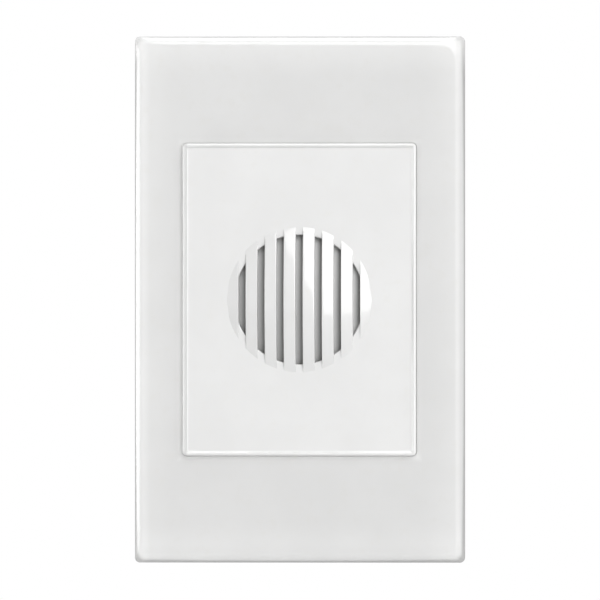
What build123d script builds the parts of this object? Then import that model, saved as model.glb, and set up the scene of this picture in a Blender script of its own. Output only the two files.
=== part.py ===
from build123d import *
import os

# A two-note wall chime that is mounted flush in a 4 x 2 inch wall box: a trim plate, a grille cover
# with a domed slotted grille, a plastic frame screwed to the wall box, and a chime unit behind them.
# A solenoid throws its plunger against one steel bar, and a spring throws it back against the other.
# Frame: the wall face is the plane Y = 0, +Y goes into the wall, the room is at -Y, and +Z is up.
# The origin lies midway between the two wall-box screws. All sizes are in millimetres.
# A level is a distance out from the wall face into the room, so levels inside the wall are negative.

# Clearances that several pieces share
trim_gap = 0.15
seat_gap = 0.05
thread_gap = 0.05
cut_overrun = 1.0

# Driving sizes: the wall box's screws, how far the frame stands out, and the action's depth and reach
box_screw_spacing = 83.5
box_lug_room = 9.05
frame_proud = 4.2
action_level = -13.0
tone_bar_offset = 17.4
tone_bar_thickness = 1.8
bar_end_gap = 2.1
bar_step = 8.0
grommet_lip = 0.7
hanger_boss_height = 1.65

# The housing goes between the wall box's lugs and reaches round the tone bars
housing_wall = 1.6
housing_height = box_screw_spacing - 2 * box_lug_room
boss_face = tone_bar_offset + tone_bar_thickness + grommet_lip + seat_gap
inner_half_width = boss_face + hanger_boss_height
inner_half_height = housing_height / 2 - housing_wall
housing_width = 2 * (inner_half_width + housing_wall)
low_bar_length = 2 * (inner_half_height - bar_end_gap)
high_bar_length = low_bar_length - bar_step

# The insert covers the housing's flange, and the plate frames the insert and covers the wall box
flange_wide = 1.65
flange_tall = 0.95
flange_gap = 0.15
skirt_wall = 1.2
insert_width = housing_width + 2 * (flange_wide + flange_gap + skirt_wall)
insert_height = housing_height + 2 * (flange_tall + flange_gap + skirt_wall)
plate_border = 10.8
plate_margin = 17.25
plate_wall = 1.8
plate_room = 2.0
insert_step = 1.0
plate_width = insert_width + 2 * plate_border
plate_height = box_screw_spacing + 2 * plate_margin
plate_proud = frame_proud + plate_room + plate_wall
insert_proud = plate_proud + insert_step
dome_rise = 3.6
slot_count = 7
slot_pitch = 4.27
slot_width = 1.6
slot_field_margin = 0.84
grille_border = 1.8
slot_field_diameter = (slot_count - 1) * slot_pitch + slot_width + 2 * slot_field_margin
grille_diameter = slot_field_diameter + 2 * grille_border


def wall_plane(level):
    """Sketch plane parallel to the wall at a level: its x is +X and its y is +Z."""
    return Plane.XZ.offset(level)


def slab(outline, back, front):
    """An outline extruded from one level out to another."""
    return extrude(wall_plane(back) * outline, front - back)


def rod(radius, start, end, level, height):
    """A round bar along X, with its axis at a level and a height."""
    return extrude(Plane.YZ.offset(start) * Pos(-level, height) * Circle(radius), end - start)


def turned(points, level, height):
    """A piece turned about an axis along X, from its (x, radius) outline."""
    profile = make_face(Polyline(*points, close=True))
    turned_up = revolve(profile, Axis.X)
    return Pos(0, -level, height) * turned_up


def at_each(outline, places):
    """One sketch with a copy of the outline at each (x, z) place."""
    return Sketch() + [Pos(x, z) * outline for x, z in places]


# Trim plate: a moulded shell with a gently crowned face and rolled edges, pushed onto the frame by four pegs
plate_corner = 1.1
plate_roll = 2.2
plate_crown = 0.75
collar_wall = 1.2
collar_back = frame_proud + 0.4
insert_corner = 0.9
peg_diameter = 4.0
peg_gap = 0.05
peg_shoulder_diameter = 5.6
peg_shoulder_gap = 0.2
peg_end = 0.5
peg_tip_chamfer = 0.5
peg_split = 0.8
peg_inset_wide = 9.0
peg_inset_tall = 13.0
peg_offset = plate_width / 2 - peg_inset_wide
peg_height = plate_height / 2 - peg_inset_tall
peg_places = [(side * peg_offset, end * peg_height) for side in (-1, 1) for end in (-1, 1)]


def crowned(outline, back, front):
    """An outline extruded out to a gently crowned face, highest at its middle."""
    ball_radius = (plate_height / 2) ** 2 / (2 * plate_crown) + plate_crown / 2
    ball = Pos(0, ball_radius - front, 0) * Sphere(ball_radius)
    return slab(outline, back, front) & ball


def plate_pegs():
    """Four split pegs on shoulders, standing back from the inside of the face."""
    shoulder_level = frame_proud + peg_shoulder_gap
    shoulders = slab(at_each(Circle(peg_shoulder_diameter / 2), peg_places), shoulder_level, plate_proud)
    pegs = slab(at_each(Circle(peg_diameter / 2), peg_places), peg_end, plate_proud)
    tips = pegs.faces().sort_by(Axis.Y)[-len(peg_places):]
    pegs = chamfer(tips.edges(), peg_tip_chamfer)
    splits = at_each(Rectangle(peg_split, peg_shoulder_diameter), peg_places)
    return shoulders + (pegs - slab(splits, peg_end - cut_overrun, shoulder_level))


def face_plate():
    sharp = crowned(Rectangle(plate_width, plate_height), 0, plate_proud)
    rolled = fillet(sharp.faces().sort_by(Axis.Y)[0].edges(), plate_roll)
    outer = rolled & slab(RectangleRounded(plate_width, plate_height, plate_corner), 0, plate_proud)
    inside = Rectangle(plate_width - 2 * plate_wall, plate_height - 2 * plate_wall)
    hollow = crowned(inside, -cut_overrun, plate_proud - plate_wall)
    window_width = insert_width + 2 * trim_gap
    window_height = insert_height + 2 * trim_gap
    window_corner = insert_corner + trim_gap
    collar = slab(
        RectangleRounded(window_width + 2 * collar_wall, window_height + 2 * collar_wall, window_corner + collar_wall),
        collar_back,
        plate_proud,
    )
    window = slab(
        RectangleRounded(window_width, window_height, window_corner),
        -cut_overrun,
        plate_proud + cut_overrun,
    )
    trimmings = (collar + plate_pegs()) & (outer + hollow)
    return outer - hollow + trimmings - window


# Grille cover: the flat insert with a raised bead round it, a domed grille and a skirt behind
cover_wall = 1.8
skirt_gap = 0.3
bead_width = 1.1
bead_rise = 0.45
dome_wall = 2.0
cover_level = insert_proud - cover_wall
pillar_level = -6.0
pillar_inset = 4.1
pillar_height = inner_half_height - pillar_inset
pillar_diameter = 6.0
pillar_places = [(0, pillar_height), (0, -pillar_height)]
cover_screw_diameter = 2.9
cover_screw_bite = 8.0
cover_screw_spare = 1.0
stake_clear = 5.05
stake_radius = slot_field_diameter / 2 + stake_clear
stake_diameter = 2.0
stake_shoulder_diameter = 3.6
stake_head_diameter = 3.4
stake_head_height = 0.7
baffle_gap = 1.2
baffle_thickness = 1.2
stake_offset = stake_radius / 2**0.5
stake_places = [(side * stake_offset, end * stake_offset) for side in (-1, 1) for end in (-1, 1)]
baffle_front = cover_level - baffle_gap
baffle_back = baffle_front - baffle_thickness


def dome(rise, radius, base_level, foot_level):
    """A spherical cap on a short foot that reaches down to another level."""
    ball_radius = (radius**2 + rise**2) / (2 * rise)
    centre_level = base_level + rise - ball_radius
    ball = Pos(0, -centre_level, 0) * Sphere(ball_radius)
    return ball & slab(Circle(radius), foot_level, base_level + rise)


def grille_slots(width, count, field_radius, back, front):
    """Upright slots at the grille's pitch, their ends following a circle."""
    first = -(count - 1) / 2
    places = [((first + index) * slot_pitch, 0) for index in range(count)]
    strips = at_each(Rectangle(width, 2 * field_radius), places)
    return slab(strips & Circle(field_radius), back, front)


def grille_cover():
    outline = RectangleRounded(insert_width, insert_height, insert_corner)
    skirt_back = frame_proud + skirt_gap
    bead_level = insert_proud + bead_rise
    body = slab(outline, skirt_back, bead_level)
    outer_rim = body.faces().sort_by(Axis.Y)[0].edges()
    body = fillet(outer_rim, bead_rise)
    face_corner = insert_corner - bead_width / 2
    face = RectangleRounded(insert_width - 2 * bead_width, insert_height - 2 * bead_width, face_corner)
    sunk_face = extrude(wall_plane(insert_proud) * face, bead_rise, taper=-45)
    inside = Rectangle(insert_width - 2 * skirt_wall, insert_height - 2 * skirt_wall)
    shell = body - sunk_face - slab(inside, skirt_back - cut_overrun, cover_level)

    grille_radius = grille_diameter / 2
    shell += dome(dome_rise, grille_radius, insert_proud, cover_level)
    shell -= dome(dome_rise, grille_radius, insert_proud - dome_wall, cover_level - cut_overrun)
    dome_top = insert_proud + dome_rise + cut_overrun
    shell -= grille_slots(slot_width, slot_count, grille_radius + cut_overrun, insert_proud, dome_top)
    shell -= grille_slots(slot_width, slot_count, slot_field_diameter / 2, cover_level - cut_overrun, dome_top)

    pillars = slab(at_each(Circle(pillar_diameter / 2), pillar_places), pillar_level, cover_level)
    screw_holes = slab(
        at_each(Circle(cover_screw_diameter / 2), pillar_places),
        pillar_level - cut_overrun,
        pillar_level + cover_screw_bite + cover_screw_spare,
    )
    shoulders = slab(at_each(Circle(stake_shoulder_diameter / 2), stake_places), baffle_front, cover_level)
    stakes = slab(at_each(Circle(stake_diameter / 2), stake_places), baffle_back - stake_head_height, cover_level)
    stake_heads = slab(
        at_each(Circle(stake_head_diameter / 2), stake_places), baffle_back - stake_head_height, baffle_back
    )
    return shell + (pillars - screw_holes) + shoulders + stakes + stake_heads


# Sound baffle: a disc staked behind the grille, its middle domed close up to the ribs. Its slots lie behind the
# ribs, so that the sound goes round them and nothing can be poked through.
baffle_slot_width = 1.2
baffle_rim = 4.5
baffle_air = 0.6
baffle_dome_margin = 0.7
stake_hole_gap = 0.05
ear_diameter = 5.0


def sound_baffle():
    disc = Circle(slot_field_diameter / 2 + baffle_rim)
    ears = at_each(Circle(ear_diameter / 2), stake_places)
    holes = at_each(Circle(stake_diameter / 2 + stake_hole_gap), stake_places)
    ribs_back = insert_proud - dome_wall
    dome_top = ribs_back - baffle_air + dome_rise
    domed = Circle(slot_field_diameter / 2 + baffle_dome_margin)
    hollowed = Circle(slot_field_diameter / 2 + baffle_dome_margin - baffle_thickness)
    cap = dome(dome_rise, grille_diameter / 2, ribs_back - baffle_air, baffle_back)
    hollow = dome(dome_rise, grille_diameter / 2, ribs_back - baffle_air - baffle_thickness, baffle_back - cut_overrun)
    plate = slab(disc + ears - holes, baffle_back, baffle_front) + (cap & slab(domed, baffle_back, dome_top))
    plate -= hollow & slab(hollowed, baffle_back - cut_overrun, dome_top)
    slots = grille_slots(
        baffle_slot_width,
        slot_count - 1,
        slot_field_diameter / 2,
        baffle_back - cut_overrun,
        dome_top + cut_overrun,
    )
    return plate - slots


# Mounting frame: a ribbed moulding screwed to the wall box, which carries the chime unit and the plate
frame_inset_wide = 4.0
frame_inset_tall = 5.0
frame_width = plate_width - 2 * frame_inset_wide
frame_height = plate_height - 2 * frame_inset_tall
frame_corner = 4.0
frame_web = 2.2
frame_rib = 1.6
frame_window_gap = 0.15
catch_border = 3.0
catch_depth = 0.5
socket_diameter = 7.2
pad_width = 10.0
pad_length = 15.0
pad_drop = 1.4
pad_level = frame_proud - pad_drop
box_slot_width = 4.2
box_slot_length = 8.0
stiffener_offset = 14.0
box_screw_places = [(0, box_screw_spacing / 2), (0, -box_screw_spacing / 2)]


def mounting_frame():
    outline = RectangleRounded(frame_width, frame_height, frame_corner)
    inner_outline = RectangleRounded(
        frame_width - 2 * frame_rib, frame_height - 2 * frame_rib, frame_corner - frame_rib
    )
    window_width = housing_width + 2 * frame_window_gap
    window_height = housing_height + 2 * frame_window_gap
    window = RectangleRounded(window_width, window_height, housing_corner)
    window_rib = RectangleRounded(
        window_width + 2 * frame_rib, window_height + 2 * frame_rib, housing_corner + frame_rib
    )
    stiffener_places = [(side * stiffener_offset, 0) for side in (-1, 1)]
    stiffeners = at_each(Rectangle(frame_rib, frame_height - frame_rib), stiffener_places)
    ribs = (outline - inner_outline) + window_rib + stiffeners
    pads = at_each(SlotOverall(pad_length, pad_width), box_screw_places)
    slots = at_each(SlotOverall(box_slot_length, box_slot_width), box_screw_places)
    sockets = at_each(Circle(socket_diameter / 2), peg_places)
    bores = at_each(Circle(peg_diameter / 2 + peg_gap), peg_places)
    catch = RectangleRounded(
        window_width + 2 * catch_border, window_height + 2 * catch_border, housing_corner + catch_border
    )
    frame = slab(outline, 0, frame_web) + slab(ribs + sockets, 0, frame_proud) + slab(pads, 0, pad_level)
    frame -= slab(catch, -cut_overrun, catch_depth)
    return frame - slab(window + slots + bores, -cut_overrun, frame_proud + cut_overrun)


# Wall-box screws: two pan-head screws through the frame's slots into the lugs of the wall box. The neck under
# each head is thinner than the thread.
box_screw_diameter = 3.5
box_screw_neck_diameter = 3.0
box_screw_reach = 19.0
box_screw_head_diameter = 7.0
box_screw_head_height = 2.2
driver_slot_share = 0.45
driver_width_share = 0.16
head_edge_share = 0.3


def headed_screw(diameter, head_diameter, head_height, tip, seat, x, height, towards_room=True):
    """A slotted screw along Y, with its head against a seat level and its point at a tip level."""
    side = 1 if towards_room else -1
    head_top = seat + side * head_height
    shank = slab(Pos(x, height) * Circle(diameter / 2), min(tip, seat), max(tip, seat))
    head = slab(Pos(x, height) * Circle(head_diameter / 2), min(seat, head_top), max(seat, head_top))
    head_face = head.faces().sort_by(Axis.Y)[0 if towards_room else -1]
    head = chamfer(head_face.edges(), head_height * head_edge_share)
    slot_floor = head_top - side * head_height * driver_slot_share
    slot = Pos(x, height) * Rectangle(head_diameter, head_diameter * driver_width_share)
    return shank + head - slab(slot, min(slot_floor, head_top), max(slot_floor, head_top))


def box_screw(x, height):
    thread = slab(Pos(x, height) * Circle(box_screw_diameter / 2), -box_screw_reach, 0)
    upper = headed_screw(
        box_screw_neck_diameter,
        box_screw_head_diameter,
        box_screw_head_height,
        -box_screw_reach,
        pad_level,
        x,
        height,
    )
    return upper + thread


def box_screws():
    return Compound(children=[box_screw(x, height) for x, height in box_screw_places])


# Terminals: a screw held in place by the housing draws a threaded cage back, which clamps the wire to a bar
housing_pillar_diameter = 8.0
pocket_clear = 1.2
terminal_inset = 5.1
screw_diameter = 3.5
screw_head_diameter = 5.0
screw_head_height = 1.7
cage_width = 7.0
cage_tall = 5.0
cage_side = 1.2
cage_front_wall = 1.2
cage_nut = 2.0
cage_gap = 0.1
guide_wall = 1.2
guide_lead = 0.8
wire_entry = 3.6
wire_entry_funnel = 0.8
bar_thickness = 1.0
bar_width = 4.2
bar_room = 1.7
bar_rise = 11.9
bar_bottom_spare = 1.0
bar_top_spare = 3.7
wire_spare = 0.2
winding_diameter = 16.6
wrap_thickness = 0.3
bobbin_lip = 0.9
bobbin_square = winding_diameter + 2 * (wrap_thickness + bobbin_lip)
coil_seat_gap = 0.1
coil_frame_thickness = 1.2
coil_boss_height = 4.6
coil_frame_front = action_level - bobbin_square / 2 - coil_seat_gap
coil_frame_back = coil_frame_front - coil_frame_thickness
housing_floor = coil_frame_back - coil_boss_height
housing_back = housing_floor - housing_wall
bar_level = housing_floor + bar_rise
bar_back = bar_level - bar_thickness
cage_mouth = bar_level + wire_entry + 2 * wire_spare
cage_front = cage_mouth + cage_front_wall
nut_front = bar_back - bar_room
cage_back = nut_front - cage_nut
guide_front = cage_front + guide_lead
terminal_offset = housing_pillar_diameter / 2 + pocket_clear + guide_wall + cage_gap + cage_width / 2
terminal_height = terminal_inset - inner_half_height
bar_bottom = terminal_height - cage_tall / 2 - bar_bottom_spare
bar_top = terminal_height + cage_tall / 2 + bar_top_spare
terminal_sides = {"left": -1, "right": 1}


def terminal_screw(side):
    """The clamping screw: its head bears on the inside of the rear wall and its tip on the bar."""
    head_back = housing_floor + seat_gap
    seat = head_back + screw_head_height
    tip = bar_back - seat_gap
    return headed_screw(
        screw_diameter,
        screw_head_diameter,
        screw_head_height,
        tip,
        seat,
        side * terminal_offset,
        terminal_height,
        towards_room=False,
    )


def terminal_cage(side):
    """A brass box open upwards and downwards, whose rear wall is the nut."""
    place = Pos(side * terminal_offset, terminal_height)
    block = slab(place * Rectangle(cage_width, cage_tall), cage_back, cage_front)
    mouth = slab(place * Rectangle(cage_width - 2 * cage_side, cage_tall + cut_overrun), nut_front, cage_mouth)
    thread = slab(place * Circle(screw_diameter / 2 + thread_gap), cage_back - cut_overrun, cage_mouth)
    return block - mouth - thread


def terminal_bar(side):
    """A flat brass bar through the cage, its ends held in the housing, with a rounded solder end."""
    blade = Pos(side * terminal_offset, (bar_bottom + bar_top) / 2) * Rectangle(bar_width, bar_top - bar_bottom)
    return slab(blade, bar_back, bar_level)


# Housing: the moulded tub that goes through the frame into the wall box and holds the whole action
housing_corner = 2.5
flange_thickness = 1.6
lug_rise = 1.2
lug_length = 4.0
lug_width = 9.0
lug_offset = 13.0
slit_width = 0.8
slit_length = 9.0
screw_head_room = 5.6
pillar_web = 2.4
pillar_floor = 4.0
driver_hole_diameter = 3.8
coil_centre = 2.0
coil_frame_screw_diameter = 2.5
coil_frame_screw_clear = 3.7
coil_frame_screw_height = bobbin_square / 2 + coil_frame_screw_clear
coil_frame_boss_diameter = 6.0
catch_face = catch_depth - seat_gap
coil_frame_screw_places = [(coil_centre, coil_frame_screw_height), (coil_centre, -coil_frame_screw_height)]


def snap_lugs():
    """Four wedges on the tub's top and bottom that catch behind the frame."""
    foot = housing_height / 2
    catch = -catch_face
    wedge = make_face(
        Polyline((catch, foot - housing_wall / 2), (catch, foot + lug_rise), (lug_length, foot), close=True)
    )
    lugs = Part()
    for x in (-lug_offset, lug_offset):
        lug = extrude(Plane.YZ.offset(x - lug_width / 2) * wedge, lug_width)
        lugs += lug + mirror(lug, Plane.XY)
    return lugs


def lug_slits():
    """A slit round three sides of each lug's tongue, so that the tongue can spring inwards."""
    slit_depth = 2 * (housing_wall + lug_rise)
    lug_places = [(side * lug_offset, end * housing_height / 2) for side in (-1, 1) for end in (-1, 1)]
    slit_top = catch_face + slit_width
    around = slab(at_each(Rectangle(lug_width + 2 * slit_width, slit_depth), lug_places), -slit_length, slit_top)
    tongues = slab(at_each(Rectangle(lug_width, slit_depth), lug_places), -slit_length, catch_face)
    return around - tongues


def terminal_pocket(side):
    """Guide walls, sill and cross wall round one terminal, with the hole for the wire through the sill."""
    x = side * terminal_offset
    half_pocket = cage_width / 2 + cage_gap
    sill_top = terminal_height - cage_tall / 2 - cage_gap
    ceiling = terminal_height + cage_tall / 2 + cage_gap
    outer_bottom = -housing_height / 2
    block_top = ceiling + guide_wall
    block_width = 2 * (half_pocket + guide_wall)
    block = slab(
        Pos(x, (outer_bottom + housing_wall / 2 + block_top) / 2)
        * Rectangle(block_width, block_top - outer_bottom - housing_wall / 2),
        housing_floor,
        guide_front,
    )
    pocket = slab(
        Pos(x, terminal_height) * Rectangle(2 * half_pocket, cage_tall + 2 * cage_gap),
        housing_floor,
        guide_front,
    )
    bar_slot_bottom = bar_bottom - seat_gap
    bar_slot = slab(
        Pos(x, (bar_slot_bottom + block_top) / 2)
        * Rectangle(bar_width + 2 * seat_gap, block_top - bar_slot_bottom),
        bar_back - seat_gap,
        bar_level + seat_gap,
    )
    return block - pocket - bar_slot


def wire_hole(side):
    """The square hole for a wire through the bottom wall and the sill, with a funnel at its mouth."""
    x = side * terminal_offset
    level = bar_level + wire_spare + wire_entry / 2
    mouth = Plane.XY.offset(-housing_height / 2) * Pos(x, -level)
    funnel_square = wire_entry + 2 * wire_entry_funnel
    funnel = extrude(mouth * Rectangle(funnel_square, funnel_square), wire_entry_funnel, taper=45)
    depth = housing_height / 2 + terminal_height
    return funnel + extrude(mouth * Rectangle(wire_entry, wire_entry), depth)


def rear_housing():
    rim = cover_level
    tub = slab(RectangleRounded(housing_width, housing_height, housing_corner), housing_back, rim)
    flange_width = housing_width + 2 * flange_wide
    flange_height = housing_height + 2 * flange_tall
    flange = slab(
        RectangleRounded(flange_width, flange_height, housing_corner), frame_proud, frame_proud + flange_thickness
    )
    hollow = slab(
        RectangleRounded(2 * inner_half_width, 2 * inner_half_height, housing_corner - housing_wall),
        housing_floor,
        rim + cut_overrun,
    )
    shell = tub + flange + snap_lugs() - hollow - lug_slits()
    pillars = at_each(Circle(housing_pillar_diameter / 2), pillar_places)
    web_places = [(0, end * (inner_half_height + pillar_height) / 2) for end in (-1, 1)]
    webs = at_each(Rectangle(pillar_web, inner_half_height + housing_wall - pillar_height), web_places)
    shell += slab(pillars + webs, housing_floor, pillar_level)
    bosses = slab(
        at_each(Circle(coil_frame_boss_diameter / 2), coil_frame_screw_places), housing_floor, coil_frame_back
    )
    shell += bosses + terminal_pocket(-1) + terminal_pocket(1) + pin_bosses()
    screw_heads = slab(
        at_each(Circle(screw_head_room / 2), pillar_places), housing_back - cut_overrun, pillar_level - pillar_floor
    )
    screw_shanks = slab(
        at_each(Circle(cover_screw_diameter / 2 + trim_gap), pillar_places), housing_back, pillar_level + cut_overrun
    )
    boss_holes = slab(
        at_each(Circle(coil_frame_screw_diameter / 2), coil_frame_screw_places), housing_floor, coil_frame_back
    )
    driver_places = [(side * terminal_offset, terminal_height) for side in (-1, 1)]
    driver_holes = slab(
        at_each(Circle(driver_hole_diameter / 2), driver_places), housing_back - cut_overrun, housing_floor
    )
    shell = shell - screw_heads - screw_shanks - boss_holes - pin_holes()
    return shell - driver_holes - wire_hole(-1) - wire_hole(1)


# Cover screws: two self-tapping screws from behind, deep in the pillars, that hold the cover on the housing
cover_screw_head_diameter = 5.2
cover_screw_head_height = 1.8


def cover_screws():
    seat = pillar_level - pillar_floor
    tip = pillar_level + cover_screw_bite
    return Compound(
        children=[
            headed_screw(
                cover_screw_diameter - 2 * thread_gap,
                cover_screw_head_diameter,
                cover_screw_head_height,
                tip,
                seat,
                x,
                height,
                towards_room=False,
            )
            for x, height in pillar_places
        ]
    )


# Solenoid: a nylon bobbin with its winding and wrap, in a bent steel frame screwed to the housing
bobbin_length = 15.6
bobbin_flange = 1.2
bobbin_corner = 2.0
bobbin_bore = 7.0
bobbin_tube_wall = 0.8
coil_frame_tall = 16.0
coil_frame_bend = 1.6
coil_frame_tab = 8.0
coil_frame_hole_gap = 0.1
pin_lug_length = 2.4
pin_lug_width = 4.0
pin_lug_drop = 2.0
coil_pin_diameter = 0.8
coil_pin_bury = 1.4
coil_pin_reach = 2.2
coil_left = coil_centre - bobbin_length / 2
coil_right = coil_centre + bobbin_length / 2
tube_radius = bobbin_bore / 2 + bobbin_tube_wall
leg_reach = coil_frame_thickness + coil_seat_gap
lug_bottom = -bobbin_square / 2 - pin_lug_drop
coil_pin_places = [coil_left + pin_lug_length / 2, coil_right - pin_lug_length / 2]


def bobbin_plate(start):
    """One square end flange of the bobbin."""
    outline = Plane.YZ.offset(start) * Pos(-action_level, 0) * RectangleRounded(
        bobbin_square, bobbin_square, bobbin_corner
    )
    return extrude(outline, bobbin_flange)


def coil_bobbin():
    body = rod(tube_radius, coil_left - leg_reach, coil_right + leg_reach, action_level, 0)
    body += bobbin_plate(coil_left) + bobbin_plate(coil_right - bobbin_flange)
    for x in coil_pin_places:
        lug = Rectangle(pin_lug_length, pin_lug_width)
        top = -bobbin_square / 2 + bobbin_flange / 2
        body += extrude(Plane.XY.offset(lug_bottom) * Pos(x, -action_level) * lug, top - lug_bottom)
        pin_hole = Plane.XY.offset(lug_bottom) * Pos(x, -action_level) * Circle(coil_pin_diameter / 2)
        body -= extrude(pin_hole, coil_pin_bury)
    return body - rod(
        bobbin_bore / 2, coil_left - leg_reach - cut_overrun, coil_right + leg_reach + cut_overrun, action_level, 0
    )


def coil_winding():
    ends = (coil_left + bobbin_flange, coil_right - bobbin_flange)
    return rod(winding_diameter / 2, *ends, action_level, 0) - rod(tube_radius, *ends, action_level, 0)


def coil_wrap():
    ends = (coil_left + bobbin_flange, coil_right - bobbin_flange)
    outer = rod(winding_diameter / 2 + wrap_thickness, *ends, action_level, 0)
    return outer - rod(winding_diameter / 2, *ends, action_level, 0)


def coil_pins():
    return Compound(
        children=[
            extrude(
                Plane.XY.offset(lug_bottom - coil_pin_reach) * Pos(x, -action_level) * Circle(coil_pin_diameter / 2),
                coil_pin_reach + coil_pin_bury,
            )
            for x in coil_pin_places
        ]
    )


def coil_frame():
    """A strip bent into a U round the bobbin, with a screw tab above and below its back."""
    left = coil_left - leg_reach
    right = coil_right + leg_reach
    tip = action_level + bobbin_square / 2
    outline = Polyline((left, -tip), (left, -coil_frame_back), (right, -coil_frame_back), (right, -tip), close=True)
    strip = extrude(make_face(outline), coil_frame_tall / 2, both=True)
    outer_bends = strip.edges().filter_by(Axis.Z).group_by(Axis.Y)[-1]
    strip = fillet(outer_bends, coil_frame_bend)
    inner_outline = Polyline(
        (left + coil_frame_thickness, -tip - cut_overrun),
        (left + coil_frame_thickness, -coil_frame_front),
        (right - coil_frame_thickness, -coil_frame_front),
        (right - coil_frame_thickness, -tip - cut_overrun),
        close=True,
    )
    inside = extrude(make_face(inner_outline), coil_frame_tall, both=True)
    tab_height = 2 * (coil_frame_screw_height + coil_frame_tab / 2)
    tabs = Pos(coil_centre, 0) * RectangleRounded(coil_frame_tab, tab_height, coil_frame_tab / 4)
    holes = at_each(Circle(coil_frame_screw_diameter / 2 + coil_frame_hole_gap), coil_frame_screw_places)
    strip = strip - inside + slab(tabs, coil_frame_back, coil_frame_front)
    strip -= slab(holes, coil_frame_back - cut_overrun, coil_frame_front + cut_overrun)
    return strip - rod(tube_radius + coil_frame_hole_gap, left - cut_overrun, right + cut_overrun, action_level, 0)


# Coil-frame screws: two short screws into the bosses on the housing's rear wall
coil_frame_screw_spare = 0.6
coil_frame_screw_bite = coil_boss_height - coil_frame_screw_spare
coil_frame_screw_head_diameter = 4.6
coil_frame_screw_head_height = 1.5


def coil_frame_screws():
    return Compound(
        children=[
            headed_screw(
                coil_frame_screw_diameter - 2 * thread_gap,
                coil_frame_screw_head_diameter,
                coil_frame_screw_head_height,
                coil_frame_back - coil_frame_screw_bite,
                coil_frame_front,
                x,
                height,
            )
            for x, height in coil_frame_screw_places
        ]
    )


# Coil leads: two insulated wires from the coil's pins down to the terminal bars
lead_diameter = 0.9
lead_straight = 2.6
lead_bend = 1.5
lead_sides = 6


def coil_lead(pin_x, side):
    start = Vector(pin_x, -action_level, lug_bottom - coil_pin_reach)
    end = Vector(side * terminal_offset, -(bar_level + bar_back) / 2, bar_top)
    drop = Vector(0, 0, lead_straight)
    route = FilletPolyline(start, start - drop, end + drop, end, radius=lead_bend)
    section = Plane(start, x_dir=(1, 0, 0), z_dir=(0, 0, -1)) * RegularPolygon(lead_diameter / 2, lead_sides)
    return sweep(section, route)


def coil_leads():
    return Compound(children=[coil_lead(coil_pin_places[0], -1), coil_lead(coil_pin_places[1], 1)])


# Tone bars: two steel bars hung at their still points, so that they ring when the plunger strikes them
tone_bar_width = 16.0
tone_bar_corner = 2.0
still_point_share = 0.276
tone_bar_hole = 4.4
grommet_groove_gap = 0.05
grommet_diameter = 5.6
hanger_diameter = 2.0
hanger_gap = 0.1
hanger_head_diameter = 4.0
hanger_head_height = 0.6
hanger_bury = 0.8
hanger_boss_diameter = 5.2
tone_bars = {"low": (-1, low_bar_length), "high": (1, high_bar_length)}
hanger_places = [
    (side, end * length * still_point_share) for side, length in tone_bars.values() for end in (-1, 1)
]
grommet_inner = tone_bar_offset - grommet_lip
grommet_outer = tone_bar_offset + tone_bar_thickness + grommet_lip


def sideways(solid, side):
    """A piece modelled on the right, or its mirror image on the left."""
    return solid if side > 0 else mirror(solid, Plane.YZ)


def pin_bosses():
    """Bosses for the hanger pins on the inside of the tub's side walls."""
    bosses = Part()
    for side, height in hanger_places:
        boss = rod(hanger_boss_diameter / 2, boss_face, inner_half_width + housing_wall / 2, action_level, height)
        bosses += sideways(boss, side)
    return bosses


def pin_holes():
    """The blind holes in those bosses."""
    holes = Part()
    for side, height in hanger_places:
        hole = rod(hanger_diameter / 2, boss_face - cut_overrun, inner_half_width + hanger_bury, action_level, height)
        holes += sideways(hole, side)
    return holes


def tone_bar(name):
    side, length = tone_bars[name]
    blank = RectangleRounded(tone_bar_width, length, tone_bar_corner)
    holes = Sketch() + [Pos(0, end * length * still_point_share) * Circle(tone_bar_hole / 2) for end in (-1, 1)]
    bar = extrude(Plane.YZ.offset(tone_bar_offset) * Pos(-action_level, 0) * (blank - holes), tone_bar_thickness)
    return sideways(bar, side)


def grommets():
    """Rubber grommets in the bars' holes: two lips with a neck between them."""
    neck = tone_bar_hole / 2 - grommet_groove_gap
    lip = grommet_diameter / 2
    bore = hanger_diameter / 2 + hanger_gap
    outline = [
        (grommet_inner, bore),
        (grommet_inner, lip),
        (tone_bar_offset, lip),
        (tone_bar_offset, neck),
        (tone_bar_offset + tone_bar_thickness, neck),
        (tone_bar_offset + tone_bar_thickness, lip),
        (grommet_outer, lip),
        (grommet_outer, bore),
    ]
    return Compound(
        children=[sideways(turned(outline, action_level, height), side) for side, height in hanger_places]
    )


def hanger_pins():
    """Headed pins pressed into the bosses through the grommets."""
    head_start = grommet_inner - seat_gap - hanger_head_height
    head_end = grommet_inner - seat_gap
    shank = hanger_diameter / 2
    outline = [
        (head_start, 0),
        (head_start, hanger_head_diameter / 2),
        (head_end, hanger_head_diameter / 2),
        (head_end, shank),
        (inner_half_width + hanger_bury, shank),
        (inner_half_width + hanger_bury, 0),
    ]
    return Compound(
        children=[sideways(turned(outline, action_level, height), side) for side, height in hanger_places]
    )


# Plunger: a steel core with a nylon striker at each end, free to slide through the bobbin
strike_gap_low = 1.0
strike_gap_high = 4.0
core_length = 19.0
core_diameter = 6.8
core_chamfer = 0.4
head_diameter = 9.0
head_thickness = 1.6
nose_diameter = 5.0
pin_diameter = 3.6
pin_collar_diameter = 6.0
pin_collar_length = 1.0
nose_edge_share = 0.3
spigot_diameter = 3.0
spigot_length = 2.5
nose_length = 1.0
low_end = -tone_bar_offset + strike_gap_low
high_end = tone_bar_offset - strike_gap_high
core_start = low_end + nose_length + head_thickness
core_end = core_start + core_length


def plunger_core():
    body = rod(core_diameter / 2, core_start, core_end, action_level, 0)
    body = chamfer(body.edges(), core_chamfer)
    sockets = rod(spigot_diameter / 2, core_start, core_start + spigot_length, action_level, 0)
    sockets += rod(spigot_diameter / 2, core_end - spigot_length, core_end, action_level, 0)
    return body - sockets


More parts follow.
